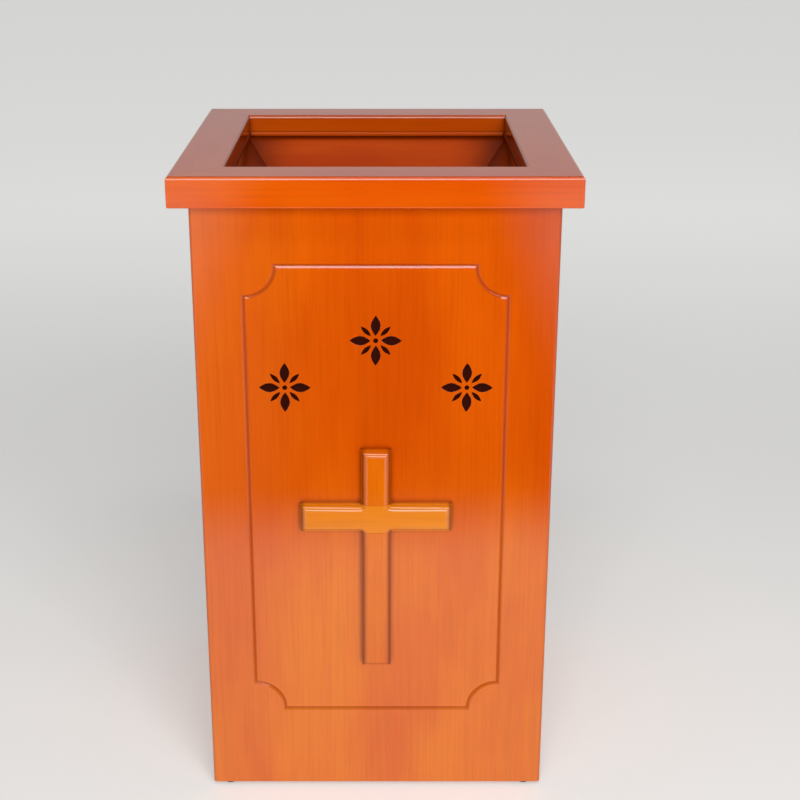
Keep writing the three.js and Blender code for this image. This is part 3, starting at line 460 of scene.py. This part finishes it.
def look_of(name):
    """The material of a CAD node, from its name."""
    side_axis = ALONG_X if name.endswith(("_front", "_back")) else ALONG_Y
    if name.startswith("rim_cleat"):
        return bare_for(side_axis)
    if name.startswith("rim_"):
        return stained_for("rim", "rim", side_axis, finish=painted_mouth_shade(MOUTH_SHADE[side_axis]))
    if name.startswith("bead_"):
        finish = painted_mouth_shade(MOUTH_SHADE[side_axis])
        return stained_for("bead", "bead", side_axis, coat=BEAD_COAT, finish=finish)
    if name.startswith("hopper_"):
        # the side boards get the darker copy of the hopper stain: painted shade
        look = "hopper_side" if side_axis == ALONG_Y else "hopper"
        return stained_for(look, look, side_axis, crevice=HOPPER_CORNER_SHADE)
    if name == "front_panel":
        extras = {"crevice": PANEL_CORNER_SHADE, "fades": True, "finish": painted_carving}
        return stained_for("front", "body", ALONG_Z, **extras)
    if name in ("left_panel", "right_panel", "back_panel", "rear_door"):
        return stained_for("body", "body", ALONG_Z, fades=True)
    if name == "cross_bar":
        return stained_for(name, name, ALONG_X, finish=painted_edge_shade(CROSS_ARM))
    if name == "cross_upright":
        return stained_for(name, name, ALONG_Z, finish=painted_edge_shade(CROSS_HALF_BAR))
    if name.startswith("corner_post"):
        return bare_for(ALONG_Z)
    if name.startswith(("bottom_board", "door_stop")):
        return bare_for(ALONG_X)
    if name.startswith("foot_screw"):
        return shared("zinc_screw", worn_metal, *ZINC, ZINC_ROUGHNESS, ALONG_Z)
    if name.startswith("foot_"):
        return shared("foot_plastic", moulded_plastic)
    if name.startswith("hinge_"):
        return shared("hinge_brass", worn_metal, *BRASS, BRASS_ROUGHNESS, ALONG_Z)
    return shared("lock_steel", worn_metal, *STEEL, STEEL_ROUGHNESS, ALONG_X)


# ---------------------------------------------------------------- surfaces


def smoothing_group():
    """Joins split vertices, drops imported normals, and keeps only real corners sharp."""
    group = bpy.data.node_groups.new("smooth_curves", "GeometryNodeTree")
    for in_out in ("INPUT", "OUTPUT"):
        group.interface.new_socket("Geometry", in_out=in_out, socket_type="NodeSocketGeometry")
    tree = Tree(group, "")
    shape = tree.node("NodeGroupInput").outputs[0]
    steps = (
        ("GeometryNodeMergeByDistance", {"Distance": MERGE_DISTANCE}, {}),
        ("GeometryNodeRemoveAttribute", {"Name": "custom_normal"}, {}),
        ("GeometryNodeSetShadeSmooth", {"Shade Smooth": True}, {}),
        ("GeometryNodeSetShadeSmooth", {"Shade Smooth": soft_edges(tree)}, {"domain": "EDGE"}),
    )
    for kind, inputs, settings in steps:
        shape = tree.node(kind, {"Geometry": shape, **inputs}, **settings).outputs[0]
    tree.node("NodeGroupOutput", {0: shape})
    return group


def soft_edges(tree):
    angle = tree.node("GeometryNodeInputMeshEdgeAngle").outputs[0]
    inputs = {0: angle, 1: SOFT_ANGLE}
    return tree.node("FunctionNodeCompare", inputs, operation="LESS_THAN").outputs[0]


def bevel_width(name):
    return next((width for start, width in BEVELS.items() if name.startswith(start)), 0.0)


def finish_surface(name, piece, group):
    smooth = piece.modifiers.new("smooth_curves", "NODES")
    smooth.node_group = group
    width = bevel_width(name)
    if width:
        bevel = piece.modifiers.new("bevel", "BEVEL")
        bevel.width = width
        bevel.segments = BEVEL_SEGMENTS
        bevel.limit_method = "ANGLE"
        bevel.angle_limit = SOFT_ANGLE
        bevel.harden_normals = True
    weighted = piece.modifiers.new("weighted_normals", "WEIGHTED_NORMAL")
    weighted.keep_sharp = True
    weighted.weight = FACE_WEIGHT


def dress_cad_nodes():
    group = smoothing_group()
    for name, piece in NODES.items():
        piece.material_slots[0].material = look_of(name)
        finish_surface(name, piece, group)


# ---------------------------------------------------------------- floor, light and camera


def make_floor():
    """A plain pale floor that is brighter far behind the box."""
    bpy.ops.mesh.primitive_plane_add(size=FLOOR_SIZE)
    floor = bpy.context.object
    floor.name = "floor"
    material, tree, surface = new_material("floor_paper")
    surface.inputs["Base Color"].default_value = FLOOR_COLOUR
    surface.inputs["Emission Color"].default_value = FLOOR_COLOUR
    depth = tree.axes(tree.object_point())["Y"]
    glow = tree.ramp(depth, *FLOOR_GLOW_REACH, *FLOOR_GLOW)
    tree.put(surface.inputs["Emission Strength"], glow)
    surface.inputs["Roughness"].default_value = FLOOR_ROUGHNESS
    surface.inputs["Specular IOR Level"].default_value = FLOOR_SHINE
    floor.data.materials.append(material)


def make_world():
    """A pale wall behind the box, and a darker room above and in front of it."""
    world = bpy.data.worlds.new("room")
    bpy.context.scene.world = world
    world.use_nodes = True
    tree = Tree(world.node_tree)
    axes = tree.axes(tree.node("TexCoord").outputs["Generated"])
    behind = tree.ramp(axes["Y"], *WALL_SIDE)
    low = tree.ramp(axes["Z"], *WALL_TOP, 1.0, 0.0)
    wall = tree.math("MULTIPLY", behind, low)
    background = world.node_tree.nodes["Background"]
    tree.put(background.inputs["Color"], tree.mix(wall, ROOM_LIGHT, WALL_LIGHT))
    background.inputs["Strength"].default_value = 1.0


def area_light(name, place, size, power):
    data = bpy.data.lights.new(name, "AREA")
    data.shape = "RECTANGLE"
    data.size, data.size_y = size
    data.energy = power
    light = bpy.data.objects.new(name, data)
    light.location = place
    towards = Vector(LIGHT_AIM) - Vector(place)
    light.rotation_euler = towards.to_track_quat("-Z", "Y").to_euler()
    bpy.context.scene.collection.objects.link(light)


def make_camera():
    data = bpy.data.cameras.new("camera")
    data.lens = CAMERA_LENS
    data.shift_x = CAMERA_SHIFT
    camera = bpy.data.objects.new("camera", data)
    camera.location = CAMERA_PLACE
    camera.rotation_euler = (math.pi / 2 - CAMERA_TILT, 0.0, 0.0)
    bpy.context.scene.collection.objects.link(camera)
    bpy.context.scene.camera = camera


# ---------------------------------------------------------------- the scene

make_camera()
dress_cad_nodes()
make_floor()
make_world()
area_light("softbox", **SOFTBOX)
area_light("strip", **STRIP)
bpy.context.scene.view_settings.view_transform = "Standard"
